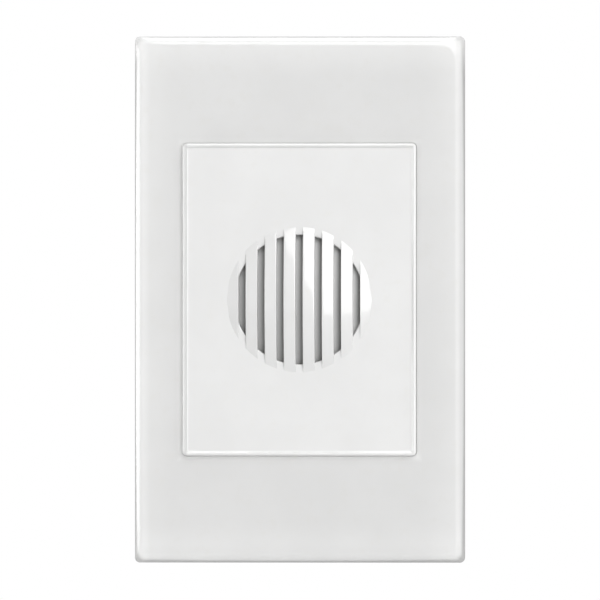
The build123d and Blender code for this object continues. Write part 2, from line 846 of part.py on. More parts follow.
def low_striker():
    """The broad nylon head that the spring pushes on and that strikes the low bar."""
    nose = rod(nose_diameter / 2, low_end, low_end + nose_length, action_level, 0)
    nose = chamfer(nose.edges().sort_by(Axis.X)[0], nose_length * nose_edge_share)
    head = rod(head_diameter / 2, low_end + nose_length, core_start, action_level, 0)
    spigot = rod(spigot_diameter / 2 - seat_gap, core_start, core_start + spigot_length - seat_gap, action_level, 0)
    return nose + head + spigot


def high_striker():
    """The long nylon pin that reaches out of the bobbin and strikes the high bar."""
    pin = rod(pin_diameter / 2, core_end, high_end, action_level, 0)
    pin = chamfer(pin.edges().sort_by(Axis.X)[-1], nose_length * nose_edge_share)
    collar = rod(pin_collar_diameter / 2, core_end, core_end + pin_collar_length, action_level, 0)
    spigot = rod(spigot_diameter / 2 - seat_gap, core_end - spigot_length + seat_gap, core_end, action_level, 0)
    return pin + collar + spigot


# Return spring: round the core, between the low striker's head and the end of the bobbin's tube. It is drawn
# as the thin sleeve that its turns fill.
spring_wire = 0.35
spring_inner_gap = 0.2
spring_start = core_start
spring_end = coil_left - leg_reach


def return_spring():
    inner = core_diameter / 2 + spring_inner_gap
    sleeve = rod(inner + spring_wire, spring_start, spring_end, action_level, 0)
    return sleeve - rod(inner, spring_start, spring_end, action_level, 0)


nodes = {
    "face_plate": face_plate,
    "grille_cover": grille_cover,
    "sound_baffle": sound_baffle,
    "mounting_frame": mounting_frame,
    "box_screws": box_screws,
    "rear_housing": rear_housing,
    "cover_screws": cover_screws,
    "coil_frame": coil_frame,
    "coil_frame_screws": coil_frame_screws,
    "coil_bobbin": coil_bobbin,
    "coil_winding": coil_winding,
    "coil_wrap": coil_wrap,
    "coil_pins": coil_pins,
    "coil_leads": coil_leads,
    "grommets": grommets,
    "hanger_pins": hanger_pins,
    "plunger_core": plunger_core,
    "low_striker": low_striker,
    "high_striker": high_striker,
    "return_spring": return_spring,
}

os.makedirs("parts", exist_ok=True)
for node, make in nodes.items():
    export_step(make(), f"parts/{node}.step")
for note in tone_bars:
    export_step(tone_bar(note), f"parts/tone_bar_{note}.step")
for name, side in terminal_sides.items():
    export_step(terminal_screw(side), f"parts/terminal_screw_{name}.step")
    export_step(terminal_cage(side), f"parts/terminal_cage_{name}.step")
    export_step(terminal_bar(side), f"parts/terminal_bar_{name}.step")
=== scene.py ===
import math

import bmesh
import bpy
from mathutils import Matrix, Vector


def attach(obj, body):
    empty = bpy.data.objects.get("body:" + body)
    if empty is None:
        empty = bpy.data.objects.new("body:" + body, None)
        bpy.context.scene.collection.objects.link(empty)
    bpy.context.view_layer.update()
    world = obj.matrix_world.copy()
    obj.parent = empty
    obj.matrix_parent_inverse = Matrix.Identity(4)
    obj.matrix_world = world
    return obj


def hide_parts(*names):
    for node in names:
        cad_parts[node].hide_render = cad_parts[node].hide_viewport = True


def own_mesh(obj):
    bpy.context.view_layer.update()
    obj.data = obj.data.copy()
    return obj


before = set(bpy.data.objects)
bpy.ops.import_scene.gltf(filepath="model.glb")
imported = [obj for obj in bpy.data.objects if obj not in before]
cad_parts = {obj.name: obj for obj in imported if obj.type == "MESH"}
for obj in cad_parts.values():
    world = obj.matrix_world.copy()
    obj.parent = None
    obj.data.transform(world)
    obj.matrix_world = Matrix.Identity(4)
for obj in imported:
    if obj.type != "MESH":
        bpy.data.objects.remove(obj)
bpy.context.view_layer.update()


# Mounting frame: the ribbed moulding that is screwed to the wall box and carries the unit and the plate.
# White ABS, matt as it left the mould, with faint flow clouds and the dust that gathers behind a plate.
class Wire:
    """A socket's value, which arithmetic and further nodes can be hung on."""

    def __init__(self, tree, socket):
        self.tree = tree
        self.socket = socket

    def node(self, kind, settings, inputs, output=0):
        """Any node: its settings first, then the values or wires of its sockets."""
        made = self.tree.nodes.new(kind)
        for name, value in settings.items():
            setattr(made, name, value)
        for name, value in inputs.items():
            if isinstance(value, Wire):
                self.tree.links.new(value.socket, made.inputs[name])
            else:
                made.inputs[name].default_value = value
        return Wire(self.tree, made.outputs[output])

    def work(self, operation, first, second):
        """A Math node on numbers, or a Vector Math node where a vector or a colour is among them."""
        pair = (first, second)
        wide = any(isinstance(side, Wire) and side.socket.type != "VALUE" for side in pair)
        if wide:
            pair = [(side,) * 3 if isinstance(side, (int, float)) else side for side in pair]
        kind = "ShaderNodeVectorMath" if wide else "ShaderNodeMath"
        return self.node(kind, {"operation": operation}, {0: pair[0], 1: pair[1]})

    def __add__(self, other):
        return self.work("ADD", self, other)

    def __sub__(self, other):
        return self.work("SUBTRACT", self, other)

    def __mul__(self, other):
        return self.work("MULTIPLY", self, other)

    def __truediv__(self, other):
        return self.work("DIVIDE", self, other)

    def __radd__(self, other):
        return self.work("ADD", other, self)

    def __rsub__(self, other):
        return self.work("SUBTRACT", other, self)

    def __rmul__(self, other):
        return self.work("MULTIPLY", other, self)

    def __rtruediv__(self, other):
        return self.work("DIVIDE", other, self)

    def noise(self, size, detail=2.0):
        """Clouds about this many millimetres across, from 0 to 1."""
        inputs = {"Vector": self, "Scale": 1 / size, "Detail": detail}
        return self.node("ShaderNodeTexNoise", {"noise_dimensions": "3D"}, inputs)

    def band(self, low, high):
        """Eases from 0 at one value to 1 at the other."""
        inputs = {"Value": self, "From Min": low, "From Max": high}
        return self.node("ShaderNodeMapRange", {"interpolation_type": "SMOOTHSTEP"}, inputs)

    def blend(self, low, high):
        """Goes from one colour to the other as this value goes from 0 to 1."""
        sides = [side if isinstance(side, Wire) else (*side, 1) for side in (low, high)]
        return self.node("ShaderNodeMix", {"data_type": "RGBA"}, {0: self, 6: sides[0], 7: sides[1]}, 2)

    def axes(self):
        """The x, y and z of a vector."""
        return [self.node("ShaderNodeSeparateXYZ", {}, {"Vector": self}, axis) for axis in range(3)]

    def length(self):
        """How long a vector is."""
        return self.node("ShaderNodeVectorMath", {"operation": "LENGTH"}, {0: self}, 1)

    def size(self):
        """A number without its sign."""
        return self.node("ShaderNodeMath", {"operation": "ABSOLUTE"}, {0: self})

    def greater(self, other):
        """The greater of two numbers."""
        return self.work("MAXIMUM", self, other)


class Finish:
    """A material, with the place on the piece in millimetres to draw its pattern from."""

    def __init__(self, name, constants):
        self.material = bpy.data.materials.new(name)
        self.material.use_nodes = True
        self.tree = self.material.node_tree
        self.shader = self.tree.nodes["Principled BSDF"]
        for socket, value in constants.items():
            self.shader.inputs[socket].default_value = value
        coordinates = self.tree.nodes.new("ShaderNodeTexCoord")
        self.place = Wire(self.tree, coordinates.outputs["Object"]) * 1000

    def feed(self, socket, wire):
        """Lets a wire drive one of the shader's sockets."""
        self.tree.links.new(wire.socket, self.shader.inputs[socket])

    def fed(self, socket):
        """The wire that drives a socket so far."""
        return Wire(self.tree, self.shader.inputs[socket].links[0].from_socket)

    def raise_by(self, height, depth):
        """Bumps the surface by a height from 0 to 1, times a depth in millimetres."""
        bump = height.node("ShaderNodeBump", {}, {"Height": height, "Distance": depth / 1000})
        self.feed("Normal", bump)


def moulded(name, tint, roughness, grain, grain_depth, coat=0.0):
    """A moulded plastic with faint clouds in its colour, a fine grain, and patches dulled by dust."""
    finish = Finish(name, {"IOR": 1.5, "Coat IOR": 1.68, "Coat Roughness": 0.02})
    clouds = finish.place.noise(16, 3)
    dust = finish.place.noise(2.3, 5).band(0.5, 0.75)
    shade = [0.965 * channel for channel in tint]
    dusty = [0.94 * channel * warmth for channel, warmth in zip(tint, (1.0, 0.992, 0.97))]
    finish.feed("Base Color", (dust * 0.35).blend(clouds.band(0.3, 0.7).blend(shade, tint), dusty))
    finish.feed("Roughness", roughness + clouds * 0.06 + dust * 0.08)
    finish.raise_by(finish.place.noise(grain, 3), grain_depth)
    if coat:
        finish.feed("Coat Weight", coat - dust * 0.12)
    return finish


def dress(nodes, finish):
    """Gives pieces that come from the frame a finish."""
    for node in nodes:
        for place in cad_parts[node].material_slots:
            place.material = finish.material


dress(["mounting_frame"], moulded("frame_moulding", (0.74, 0.74, 0.72), 0.48, 0.16, 0.006))


# Wall-box screws: two slotted pan-head machine screws, zinc-plated steel, through the frame's slots into
# the lugs of the wall box. The neck under each head is turned down, and the thread is rolled.
def block(bm, low, high):
    """A box between two corners."""
    low, high = Vector(low), Vector(high)
    place = Matrix.Translation((low + high) / 2) @ Matrix.Diagonal((*(high - low), 1))
    bmesh.ops.create_cube(bm, size=1, matrix=place)


def turned(bm, outline, centre, steps=48):
    """Spins an outline of (radius, level) points about an axis that runs into the wall."""
    known = set(bm.verts)
    points = [bm.verts.new((radius, -level, 0)) for radius, level in outline]
    edges = [bm.edges.new(pair) for pair in zip(points, points[1:])]
    about = {"cent": (0, 0, 0), "axis": (0, 1, 0), "dvec": (0, 0, 0)}
    bmesh.ops.spin(bm, geom=points + edges, angle=2 * math.pi, steps=steps, use_merge=True, **about)
    made = [vertex for vertex in bm.verts if vertex not in known]
    bmesh.ops.translate(bm, vec=(centre[0], 0, centre[1]), verts=made)
    bmesh.ops.remove_doubles(bm, verts=made, dist=0.001)


def threaded(bm, crest, root, pitch, start, end, centre):
    """A rolled thread: a vee that climbs by its pitch each turn and runs out at both ends."""
    steps = 20
    turns = round((start - end) / pitch) - 1
    vee = [(root, start), (crest, start - pitch / 2), (root, start - pitch)]
    points = [bm.verts.new((radius, -level, 0)) for radius, level in vee]
    edges = [bm.edges.new(pair) for pair in zip(points, points[1:])]
    about = {"cent": (0, 0, 0), "axis": (0, 1, 0), "dvec": (0, pitch / steps, 0)}
    known = set(bm.verts) - set(points)
    spun = bmesh.ops.spin(bm, geom=points + edges, angle=2 * math.pi * turns, steps=steps * turns, **about)
    last = [vertex for vertex in spun["geom_last"] if isinstance(vertex, bmesh.types.BMVert)]
    for vertex in points + last:
        radius = math.hypot(vertex.co.x, vertex.co.z)
        bmesh.ops.scale(bm, vec=(root / radius, 1, root / radius), verts=[vertex])
    made = [vertex for vertex in bm.verts if vertex not in known]
    bmesh.ops.translate(bm, vec=(centre[0], 0, centre[1]), verts=made)


def carved(shape, cutter, into):
    """Adds a shape to a mesh, less the volume of its cutter."""
    parts = []
    for source in (shape, cutter):
        bmesh.ops.recalc_face_normals(source, faces=source.faces)
        mesh = bpy.data.meshes.new("carving")
        source.to_mesh(mesh)
        source.free()
        part = bpy.data.objects.new("carving", mesh)
        bpy.context.scene.collection.objects.link(part)
        parts.append(part)
    cut = parts[0].modifiers.new("cut", "BOOLEAN")
    cut.object, cut.operation, cut.solver = parts[1], "DIFFERENCE", "EXACT"
    seen = parts[0].evaluated_get(bpy.context.evaluated_depsgraph_get())
    into.from_mesh(seen.to_mesh())
    for part in parts:
        mesh = part.data
        bpy.data.objects.remove(part)
        bpy.data.meshes.remove(mesh)


def settle(bm, name, body, finish, stands_for, sharp=30):
    """Makes a mesh drawn in millimetres a piece that rides on a body, its faces outwards."""
    bmesh.ops.recalc_face_normals(bm, faces=bm.faces)
    bmesh.ops.scale(bm, vec=(0.001, 0.001, 0.001), verts=bm.verts)
    mesh = bpy.data.meshes.new(name)
    bm.to_mesh(mesh)
    bm.free()
    for face in mesh.polygons:
        face.use_smooth = True
    mesh.set_sharp_from_angle(angle=math.radians(sharp))
    mesh.materials.append(finish.material)
    piece = bpy.data.objects.new(name, mesh)
    bpy.context.scene.collection.objects.link(piece)
    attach(piece, body)
    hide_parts(*stands_for)
    return piece


def plated(name, tint, roughness, lay):
    """Bright zinc over steel: a blotchy passivation, and fine marks that run across one axis."""
    finish = Finish(name, {"Metallic": 1.0, "IOR": 2.0})
    stretch = [1 if axis == lay else 12 for axis in range(3)]
    marks = (finish.place * Vector(stretch)).noise(2.5, 3)
    blotch = finish.place.noise(3.5, 4).band(0.35, 0.75)
    dull = [0.78 * channel for channel in tint]
    finish.feed("Base Color", (blotch * 0.5).blend(tint, dull))
    finish.feed("Roughness", roughness + blotch * 0.12 + marks * 0.08)
    finish.raise_by(marks, 0.004)
    return finish


screw_zinc = plated("screw_zinc", (0.56, 0.56, 0.545), 0.24, 1)
box_screw_spacing = 83.5
box_screw_places = [(0, box_screw_spacing / 2), (0, -box_screw_spacing / 2)]
box_screw_seat, box_screw_end = 2.8, -19.0
head_radius, head_top, head_flank, head_edge = 3.5, 4.95, 3.4, 0.15
head_steps, head_roundness = 4, 3
neck_radius, tip_radius, tip_length = 1.5, 1.1, 0.6
thread_crest, thread_root, thread_pitch, thread_end = 1.75, 1.48, 0.6, -18.6
driver_slot_half, driver_slot_floor = 0.56, 3.9
overrun = 0.5

outline = []
for step in range(head_steps + 1):
    angle = step / head_steps * math.pi / 2
    level = head_flank + (head_top - head_flank) * math.cos(angle) ** (2 / head_roundness)
    outline.append((head_radius * math.sin(angle) ** (2 / head_roundness), level))
outline += [(head_radius, box_screw_seat + head_edge), (head_radius - head_edge, box_screw_seat)]
outline += [(neck_radius, box_screw_seat), (neck_radius, box_screw_end + tip_length)]
outline += [(tip_radius, box_screw_end), (0, box_screw_end)]
screws, slots, whole = bmesh.new(), bmesh.new(), bmesh.new()
reach = head_radius + overrun
for x, z in box_screw_places:
    turned(screws, outline, (x, z))
    low = (x - reach, -head_top - overrun, z - driver_slot_half)
    block(slots, low, (x + reach, -driver_slot_floor, z + driver_slot_half))
carved(screws, slots, whole)
for place in box_screw_places:
    threaded(whole, thread_crest, thread_root, thread_pitch, 0.0, thread_end, place)
settle(whole, "wall_box_screw_pair", "chime_base", screw_zinc, ["box_screws"])


# Rear housing: the tub that goes through the frame into the wall box and holds the action. Pale grey-white
# ABS with a spark-eroded texture, round ejector marks on its back, and a smooth parting line.
housing_moulding = moulded("housing_moulding", (0.66, 0.66, 0.64), 0.5, 0.22, 0.011)
dress(["rear_housing"], housing_moulding)


def press_rings(finish, centres, radius):
    """Shallow round marks that ejector pins leave in a moulding's back."""
    lip, depth = 0.25, 0.04
    marks = 0
    for x, z in centres:
        place = finish.place - Vector((x, 0, z))
        off_centre = (place * Vector((1, 0, 1))).length()
        marks = marks + off_centre.band(radius, radius + lip) - 1
    grain = finish.place.noise(0.22, 3)
    finish.raise_by(grain * 0.3 + marks + 1, depth)


ejector_places, ejector_radius = [(-17, 12), (17, 12), (-17, -8), (17, -8), (0, 17)], 1.9
press_rings(housing_moulding, ejector_places, ejector_radius)


# Coil frame and its two screws: a strip of mild steel bent into a U, barrel-plated with bright zinc, held
# by two slotted screws in bosses on the tub's rear wall.
dress(["coil_frame"], plated("frame_zinc", (0.56, 0.57, 0.58), 0.3, 0))
dress(["coil_frame_screws"], screw_zinc)


# Bobbin, winding, wrap and pins: natural nylon wound with enamelled copper wire under a turn of yellow
# polyester tape. The wire's ends are soldered to two tinned pins.
nylon = moulded("natural_nylon", (0.72, 0.69, 0.60), 0.42, 0.3, 0.004)
dress(["coil_bobbin"], nylon)

wire_turn = 0.22
copper = Finish("enamelled_copper", {"Metallic": 1.0, "Coat Weight": 0.6, "Coat Roughness": 0.12})
along = copper.place.axes()[0] / wire_turn
turns = along.node("ShaderNodeMath", {"operation": "PINGPONG"}, {0: along, 1: 0.5}) * 2
# Painted shade between the turns and painted highlight on their crests, in step with the bump.
copper.feed("Base Color", turns.blend((0.30, 0.10, 0.035), (0.80, 0.34, 0.14)))
copper.feed("Roughness", 0.24 + copper.place.noise(1.5) * 0.14)
copper.raise_by(turns, 0.08)
dress(["coil_winding"], copper)

tape = Finish("polyester_tape", {"IOR": 1.58, "Coat Weight": 0.7, "Coat Roughness": 0.08})
wrinkle = (tape.place * Vector((3, 1, 1))).noise(4, 3)
tape.feed("Base Color", wrinkle.band(0.3, 0.7).blend((0.66, 0.44, 0.07), (0.78, 0.55, 0.12)))
tape.feed("Roughness", 0.22 + wrinkle * 0.2)
tape.raise_by(wrinkle, 0.05)
dress(["coil_wrap"], tape)

tinned = plated("tinned_copper", (0.74, 0.75, 0.76), 0.3, 2)
dress(["coil_pins"], tinned)


# Coil leads: two wires in red PVC from the bobbin's pins down to the terminal bars, soldered at both ends
# and dressed in easy bends.
pvc = Finish("red_pvc", {"IOR": 1.53})
pvc.feed("Base Color", pvc.place.noise(3).blend((0.34, 0.016, 0.014), (0.46, 0.03, 0.024)))
pvc.feed("Roughness", 0.36 + pvc.place.noise(1.2) * 0.12)
pvc.raise_by(pvc.place.noise(0.35), 0.01)

lead_radius = 0.45
lead_routes = {
    "coil_lead_left": [
        (-4.6, 13.0, -13.4),
        (-4.6, 13.1, -15.6),
        (-7.2, 15.2, -16.9),
        (-10, 17, -17.6),
        (-10, 17, -20.1),
    ],
    "coil_lead_right": [
        (8.6, 13.0, -13.4),
        (8.6, 13.1, -15.6),
        (9.2, 15.2, -16.9),
        (10, 17, -17.6),
        (10, 17, -20.1),
    ],
}
leads = bmesh.new()
for name, route in lead_routes.items():
    curve = bpy.data.curves.new(name, "CURVE")
    curve.dimensions = "3D"
    curve.bevel_depth = lead_radius
    curve.bevel_resolution = 5
    curve.use_fill_caps = True
    line = curve.splines.new("NURBS")
    line.points.add(len(route) - 1)
    for point, place in zip(line.points, route):
        point.co = (*place, 1)
    line.order_u = 3
    line.use_endpoint_u = True
    line.resolution_u = 10
    lead = bpy.data.objects.new(name, curve)
    bpy.context.scene.collection.objects.link(lead)
    drawn = lead.evaluated_get(bpy.context.evaluated_depsgraph_get())
    leads.from_mesh(drawn.to_mesh())
    bpy.data.objects.remove(lead)
    bpy.data.curves.remove(curve)
settle(leads, "coil_lead_pair", "chime_base", pvc, ["coil_leads"], 50)


# Plunger: a turned soft-iron core with a nylon striker pressed into each end. The core is dull, with the
# rings that a tool leaves, and polished where it slides in the bobbin.
iron = Finish("turned_iron", {"Metallic": 1.0})
rings = (iron.place * Vector((14, 1, 1))).noise(2.2, 2)
rubbed = iron.place.noise(5).band(0.35, 0.7)
iron.feed("Base Color", rubbed.blend((0.42, 0.42, 0.42), (0.56, 0.55, 0.54)))
iron.feed("Roughness", 0.42 - rubbed * 0.16 + rings * 0.08)
iron.raise_by(rings, 0.008)
dress(["plunger_core"], iron)
dress(["low_striker", "high_striker"], nylon)


# Return spring: six open turns of drawn steel wire round the core, with a closed turn at each end. It sits
# between the low striker's head and the bobbin's tube, and shortens as the plunger runs out.
drawn_steel = plated("drawn_steel", (0.52, 0.52, 0.53), 0.22, 0)
spring_low, spring_high = -13.8, -7.1
spring_wire, spring_radius, open_turns = 0.35, 3.78, 6
action_depth = 13.0
wire_sides, turn_steps, weld = 8, 36, 0.01


def spring_turns(bm, start, rise, turns):
    """Turns of round wire about the action's axis, each one moved along by its rise."""
    into = Matrix.Translation((start, action_depth, spring_radius)) @ Matrix.Rotation(math.pi / 2, 4, "X")
    section = {"radius": spring_wire / 2, "segments": wire_sides, "matrix": into}
    ring = bmesh.ops.create_circle(bm, cap_ends=False, **section)["verts"]
    edges = list({edge for vertex in ring for edge in vertex.link_edges})
    winding = {"cent": (0, action_depth, 0), "axis": (1, 0, 0), "dvec": (rise / turn_steps, 0, 0)}
    winding |= {"angle": 2 * math.pi * turns, "steps": turn_steps * turns}
    bmesh.ops.spin(bm, geom=ring + edges, **winding)


spring = bmesh.new()
open_length = spring_high - spring_low - 3 * spring_wire
spring_turns(spring, spring_low + spring_wire / 2, spring_wire, 1)
spring_turns(spring, spring_low + spring_wire * 1.5, open_length / open_turns, open_turns)
spring_turns(spring, spring_high - spring_wire * 1.5, spring_wire, 1)
bmesh.ops.remove_doubles(spring, verts=spring.verts, dist=weld)
bmesh.ops.holes_fill(spring, edges=spring.edges, sides=wire_sides)
stands_for = ["return_spring"]
coil = settle(spring, "return_spring_wire", "chime_base", drawn_steel, stands_for, 60)
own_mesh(coil)


# Tone bars: two strips of spring steel, ground on their faces and nickel-plated, that ring at two notes.
# The grinding runs along them.
ground_steel = Finish("ground_steel", {"Metallic": 1.0, "Coat Weight": 0.25, "Coat Roughness": 0.2})
grinding = (ground_steel.place * Vector((1, 9, 0.35))).noise(1.4, 4)
tarnish = ground_steel.place.noise(9, 4).band(0.45, 0.8)
ground_steel.feed("Base Color", (tarnish * 0.6).blend((0.60, 0.60, 0.61), (0.46, 0.44, 0.40)))
ground_steel.feed("Roughness", 0.2 + grinding * 0.2 + tarnish * 0.1)
ground_steel.raise_by(grinding, 0.006)
dress(["tone_bar_low", "tone_bar_high"], ground_steel)


# Grommets and hanger pins: soft black rubber that floats each bar at its still points, on headed steel
# pins pressed into bosses in the tub.
rubber = Finish("soft_rubber", {"IOR": 1.52, "Specular IOR Level": 0.4})
bloom = rubber.place.noise(1.8, 4).band(0.4, 0.75)
rubber.feed("Base Color", bloom.blend((0.018, 0.018, 0.018), (0.05, 0.05, 0.048)))
rubber.feed("Roughness", 0.62 + bloom * 0.2)
rubber.raise_by(rubber.place.noise(0.25, 3), 0.02)
dress(["grommets"], rubber)
dress(["hanger_pins"], screw_zinc)


# Terminals: a brass cage that a zinc-plated screw draws back over a flat brass bar, so that the wire is
# clamped between bar and cage. The cages are folded and tapped, the bars blanked from strip.
brass = Finish("terminal_brass_bright", {"Metallic": 1.0})
stain = brass.place.noise(2.6, 4).band(0.4, 0.8)
drag = (brass.place * Vector((8, 1, 8))).noise(1.6, 2)
brass.feed("Base Color", (stain * 0.7).blend((0.78, 0.57, 0.25), (0.50, 0.31, 0.12)))
brass.feed("Roughness", 0.22 + stain * 0.18 + drag * 0.08)
brass.raise_by(drag, 0.006)
dress(["terminal_cage_left", "terminal_cage_right", "terminal_bar_left", "terminal_bar_right"], brass)
dress(["terminal_screw_left", "terminal_screw_right"], screw_zinc)


# Cover screws: two self-tapping screws from behind, deep in the tub's pillars, that hold the cover. Their
# heads are zinc-plated, with a driver's scuff across the slot.
cover_zinc = plated("cover_screw_zinc", (0.54, 0.54, 0.52), 0.32, 2)
dress(["cover_screws"], cover_zinc)


# Sound baffle: the matt white disc staked behind the grille. Its domed middle lies close under the ribs,
# with slots behind them, so that it lets the sound out and closes the view in. Its colour darkens towards
# the right of each slot: a painted shadow of the rib beside it.
slot_pitch, slot_half, shadow_overrun = 4.27, 0.8, 0.2
baffle_moulding = moulded("baffle_moulding", (0.82, 0.82, 0.815), 0.6, 0.18, 0.008)
across = baffle_moulding.place.axes()[0]
one_slot = {0: across, 1: slot_pitch / 2, 2: -slot_pitch / 2}
in_slot = across.node("ShaderNodeMath", {"operation": "WRAP"}, one_slot)
# Painted shadow of the rib to the right: darker towards the right of each slot.
rib_shadow = in_slot.band(-slot_half, slot_half + shadow_overrun)
bare = baffle_moulding.fed("Base Color")
baffle_moulding.feed("Base Color", rib_shadow.blend(bare, (0.27, 0.27, 0.265)))
dress(["sound_baffle"], baffle_moulding)


# Grille cover: the raised insert with a bead round its rim, and over its round opening eight ribs cut
# from one shallow dome. Gloss white ABS, moulded in one piece with its skirt, pillars and stakes. Painted
# shade darkens the walls of the slots deeper down, and a line inside the left bead; the coat is taken off
# there.
insert_gloss = moulded("insert_gloss", (0.80, 0.80, 0.795), 0.34, 0.9, 0.0025, 0.9)
cover_width, cover_height = 52.4, 70.0
cover_face, cover_inside = 9.0, 7.2
skirt_level, skirt_wall, skirt_edge, bead_support = 4.5, 1.2, 0.15, 7.9
bead_corner, inner_corner = 0.9, 0.35
bead_rise, crest_end, bead_foot, bead_surround = 0.45, 0.58, 1.14, 1.5
outer_steps, inner_steps = 4, 6
mouth_radius, mouth_edge, mouth_surround = 14.45, 0.2, 0.5
dome_radius, dome_rise, rib_depth, rib_edge = 16.25, 3.6, 2.0, 0.16
painted_shade_tint = (0.45, 0.45, 0.445)
stand_off = 80.0


def oblong(bm, width, height, corner, level):
    """A ring of edges round a rounded rectangle, parallel to the wall."""
    cuts = 25
    known = set(bm.edges)
    upright = Matrix.Rotation(math.pi / 2, 4, "X")
    corners = bmesh.ops.create_grid(bm, x_segments=1, y_segments=1, size=0.5, matrix=upright)["verts"]
    bmesh.ops.scale(bm, vec=(width, 1, height), verts=corners)
    bmesh.ops.translate(bm, vec=(0, -level, 0), verts=corners)
    rounding = {"offset": corner, "segments": 6, "profile": 0.5, "material": -1}
    bmesh.ops.bevel(bm, geom=corners, affect="VERTICES", **rounding)
    ring = [edge for edge in bm.edges if edge not in known]
    sheet = list({face for edge in ring for face in edge.link_faces})
    bmesh.ops.delete(bm, geom=sheet, context="FACES_ONLY")
    sides = sorted(ring, key=lambda edge: edge.calc_length())[-4:]
    bmesh.ops.subdivide_edges(bm, edges=sides, cuts=cuts)
    return [edge for edge in bm.edges if edge not in known]


def hoop(bm, radius, level):
    """A round ring of edges, parallel to the wall."""
    steps = 128
    place = Matrix.Translation((0, -level, 0)) @ Matrix.Rotation(math.pi / 2, 4, "X")
    ring = bmesh.ops.create_circle(bm, cap_ends=False, radius=radius, segments=steps, matrix=place)
    return list({edge for vertex in ring["verts"] for edge in vertex.link_edges})


def skinned(bm, rings):
    """Skins neighbouring rings of edges, and the last to the first.

    Each second ring stands off while it is skinned, because rings in one plane can be joined crosswise."""
    for first, second in zip(rings, rings[1:] + rings[:1]):
        ring = list({vertex for edge in second for vertex in edge.verts})
        bmesh.ops.translate(bm, vec=(0, stand_off, 0), verts=ring)
        bmesh.ops.bridge_loops(bm, edges=first + second)
        bmesh.ops.translate(bm, vec=(0, -stand_off, 0), verts=ring)


def inset(bm, margin, level, corner):
    """The cover's outline, moved in by a margin."""
    return oblong(bm, cover_width - 2 * margin, cover_height - 2 * margin, corner, level)


ball_radius = (dome_radius**2 + dome_rise**2) / (2 * dome_rise)
ball_centre = Vector((0, ball_radius - cover_face - dome_rise, 0))
below_dome = ball_radius - (insert_gloss.place - ball_centre).length()
off_centre = (insert_gloss.place * Vector((1, 0, 1))).length()
in_grille = 1 - off_centre.band(mouth_radius + 0.05, mouth_radius + 0.3)
# Painted shade: darker the deeper a point lies below the dome, down the walls of the slots.
slot_wall_shade = below_dome.band(0.15, 0.9) * in_grille
from_left = insert_gloss.place.axes()[0] + cover_width / 2
# Painted shade: a thin darker line just inside the left bead.
left_bead_shade = from_left.band(0.3, 0.7) * (1 - from_left.band(0.8, 1.2))
bead_shaded_colour = (left_bead_shade * 0.35).blend(insert_gloss.fed("Base Color"), painted_shade_tint)
insert_gloss.feed("Base Color", slot_wall_shade.blend(bead_shaded_colour, painted_shade_tint))
shine = insert_gloss.fed("Coat Weight")
insert_gloss.feed("Coat Weight", shine * (1 - slot_wall_shade) * (1 - left_bead_shade * 0.8))

outside = [(skirt_edge, skirt_level), (0.0, skirt_level + skirt_edge), (0.0, bead_support)]
for step in range(outer_steps + 1):
    angle = step / outer_steps * math.pi / 2
    outside.append((bead_rise * (1 - math.cos(angle)), cover_face + bead_rise * math.sin(angle)))
for step in range(inner_steps + 1):
    share = step / inner_steps
    fall = share * share * (3 - 2 * share)
    margin = crest_end + (bead_foot - crest_end) * share
    outside.append((margin, cover_face + bead_rise * (1 - fall)))
outside.append((bead_surround, cover_face))
mouth = [
    (mouth_radius + mouth_surround, cover_face),
    (mouth_radius + mouth_edge, cover_face),
    (mouth_radius + mouth_edge * 0.3, cover_face - mouth_edge * 0.3),
    (mouth_radius, cover_face - mouth_edge),
    (mouth_radius, cover_inside),
]
cover = bmesh.new()
rings = []
for margin, level in outside:
    rings.append(inset(cover, margin, level, max(bead_corner - margin, inner_corner)))
rings += [hoop(cover, radius, level) for radius, level in mouth]
rings += [inset(cover, skirt_wall, level, inner_corner) for level in (cover_inside, skirt_level)]
skinned(cover, rings)

slot_centres = [slot_pitch * step for step in range(-3, 4)]
rib_starts = [-dome_radius] + [centre + slot_half for centre in slot_centres]
rib_ends = [centre - slot_half for centre in slot_centres] + [dome_radius]
rounded_above = cover_face + 0.25
for start, end in zip(rib_starts, rib_ends):
    rib = bmesh.ops.create_grid(cover, x_segments=6, y_segments=64, size=0.5)["verts"]
    for vertex in rib:
        x = start + (vertex.co.x + 0.5) * (end - start)
        z = 2 * vertex.co.y * math.sqrt(max(dome_radius**2 - x**2, 0))
        ball_top = math.sqrt(ball_radius**2 - x**2 - z**2)
        vertex.co = (x, ball_radius - ball_top - cover_face - dome_rise, z)
    bmesh.ops.remove_doubles(cover, verts=rib, dist=0.001)
    rib = [vertex for vertex in rib if vertex.is_valid]
    top = list({face for vertex in rib for face in vertex.link_faces})
    rim = [edge for face in top for edge in face.edges if edge.is_boundary]
    sides = [edge for edge in rim if all(-vertex.co.y > rounded_above for vertex in edge.verts)]
    foot = bmesh.ops.extrude_face_region(cover, geom=top)["geom"]
    foot = [part for part in foot if isinstance(part, bmesh.types.BMVert)]
    bmesh.ops.translate(cover, vec=(0, rib_depth, 0), verts=foot)
    rounding = {"offset": rib_edge, "segments": 3, "profile": 0.5, "material": -1}
    bmesh.ops.bevel(cover, geom=sides, affect="EDGES", **rounding)

cover_root = cover_inside + 0.1
pillar_bore, pillar_radius, pillar_end, pillar_edge, pillar_offset = 1.45, 3.0, -6.0, 0.15, 27
pillar = [
    (pillar_bore, pillar_end),
    (pillar_radius - pillar_edge, pillar_end),
    (pillar_radius, pillar_end + pillar_edge),
    (pillar_radius, cover_root),
    (pillar_bore, cover_root),
    (pillar_bore, pillar_end),
]
for z in (pillar_offset, -pillar_offset):
    turned(cover, pillar, (0, z))

